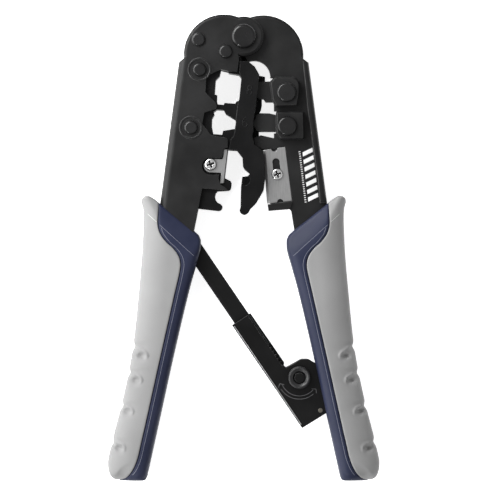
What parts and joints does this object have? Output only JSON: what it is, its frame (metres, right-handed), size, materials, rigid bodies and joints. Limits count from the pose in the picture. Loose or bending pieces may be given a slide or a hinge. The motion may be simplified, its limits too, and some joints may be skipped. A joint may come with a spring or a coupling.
{
  "type": "modular plug crimping tool",
  "caption": "Hand crimping tool with two sprung handles, two modular-plug nests with sliding punches, a cable cutter, a stripping blade and a telescopic ratchet strut.",
  "frame": {"origin": "main pivot axis where the pivot rivet's flat tail meets the surface that the tool lies on", "axes": "+Z out of the tool's front face; +Y from the handles towards the head's top; +X towards the moving handle"},
  "size_m": [0.1114, 0.1902, 0.021],
  "materials": {
    "black_oxide": "satin black oxide on pressed steel",
    "black_casting": "matt black enamel on a die casting",
    "plain_steel": "bright turned or ground steel",
    "blade_steel": "ground blade steel",
    "blue_plastic": "fine-textured navy plastic",
    "grey_rubber": "soft-touch light grey overmould",
    "black_plastic": "knurled black plastic"
  },
  "bodies": {
    "left_handle": {"left_frame": "black_oxide", "die_body": "black_casting", "die_rivets": "black_oxide", "pivot_rivet": "black_oxide", "pivot_washers": "plain_steel", "return_spring": "plain_steel", "strip_blade": "blade_steel", "strip_blade_screw": "plain_steel", "strut_anchor_pin": "plain_steel", "left_grip_core": "blue_plastic", "left_grip_overmould": "grey_rubber"},
    "right_handle": {"right_frame": "black_oxide", "pusher_rivets": "black_oxide", "cutter_blade": "blade_steel", "cutter_screw": "plain_steel", "housing_pivot_pin": "plain_steel", "right_grip_core": "blue_plastic", "right_grip_overmould": "grey_rubber"},
    "upper_pusher": {"pusher_8p": "black_oxide", "link_pin_8p": "plain_steel"},
    "lower_pusher": {"pusher_6p": "black_oxide", "link_pin_6p": "plain_steel"},
    "upper_punch": {"punch_block_8p": "black_casting", "contact_comb_8p": "plain_steel", "strain_bar_8p": "plain_steel"},
    "lower_punch": {"punch_block_6p": "black_casting", "contact_comb_6p": "plain_steel", "strain_bar_6p": "plain_steel"},
    "strut_housing": {"ratchet_housing": "black_oxide", "housing_stop_pin": "plain_steel", "pawl_spring": "plain_steel"},
    "strut_bar": {"ratchet_bar": "black_oxide"},
    "release": {"release_knob": "black_plastic", "release_shaft": "plain_steel", "pawl": "plain_steel"}
  },
  "joints": [
    {"name": "handle_close", "type": "hinge", "parent": "left_handle", "child": "right_handle", "pos_m": [0, 0, 0.0105], "axis": [0, 0, -1], "range_deg": [0, 12], "stiffness_Nm_per_rad": 2},
    {"name": "upper_pusher_swing", "type": "hinge", "parent": "right_handle", "child": "upper_pusher", "pos_m": [0.0175, -0.0229, 0.0105], "axis": [0, 0, -1], "range_deg": [0, 7.23]},
    {"name": "lower_pusher_swing", "type": "hinge", "parent": "right_handle", "child": "lower_pusher", "pos_m": [0.0178, -0.0367, 0.0105], "axis": [0, 0, -1], "range_deg": [0, 8.54]},
    {"name": "upper_punch_travel", "type": "slide", "parent": "left_handle", "child": "upper_punch", "axis": [-0.9914, 0.1305, 0], "range_m": [0, 0.00432]},
    {"name": "lower_punch_travel", "type": "slide", "parent": "left_handle", "child": "lower_punch", "axis": [-0.9914, 0.1305, 0], "range_m": [0, 0.00707]},
    {"name": "strut_swing", "type": "hinge", "parent": "right_handle", "child": "strut_housing", "pos_m": [0.0379, -0.1468, 0.0105], "axis": [0, 0, -1], "range_deg": [0, 9.51]},
    {"name": "strut_telescope", "type": "slide", "parent": "strut_housing", "child": "strut_bar", "axis": [0.5628, -0.8266, 0], "range_m": [0, 0.01413]},
    {"name": "release_turn", "type": "hinge", "parent": "strut_housing", "child": "release", "pos_m": [0.02275, -0.1393, 0.0105], "axis": [0, 0, 1], "range_deg": [0, 40], "stiffness_Nm_per_rad": 0.05}
  ],
  "couplings": [
    {"joint": "upper_pusher_swing", "follows": "handle_close", "ratio": 0.5856},
    {"joint": "lower_pusher_swing", "follows": "handle_close", "ratio": 0.6953},
    {"joint": "upper_punch_travel", "follows": "handle_close", "m_per_rad": 0.02052},
    {"joint": "lower_punch_travel", "follows": "handle_close", "m_per_rad": 0.03365},
    {"joint": "strut_swing", "follows": "handle_close", "ratio": 0.7761},
    {"joint": "strut_telescope", "follows": "handle_close", "m_per_rad": 0.06738}
  ]
}
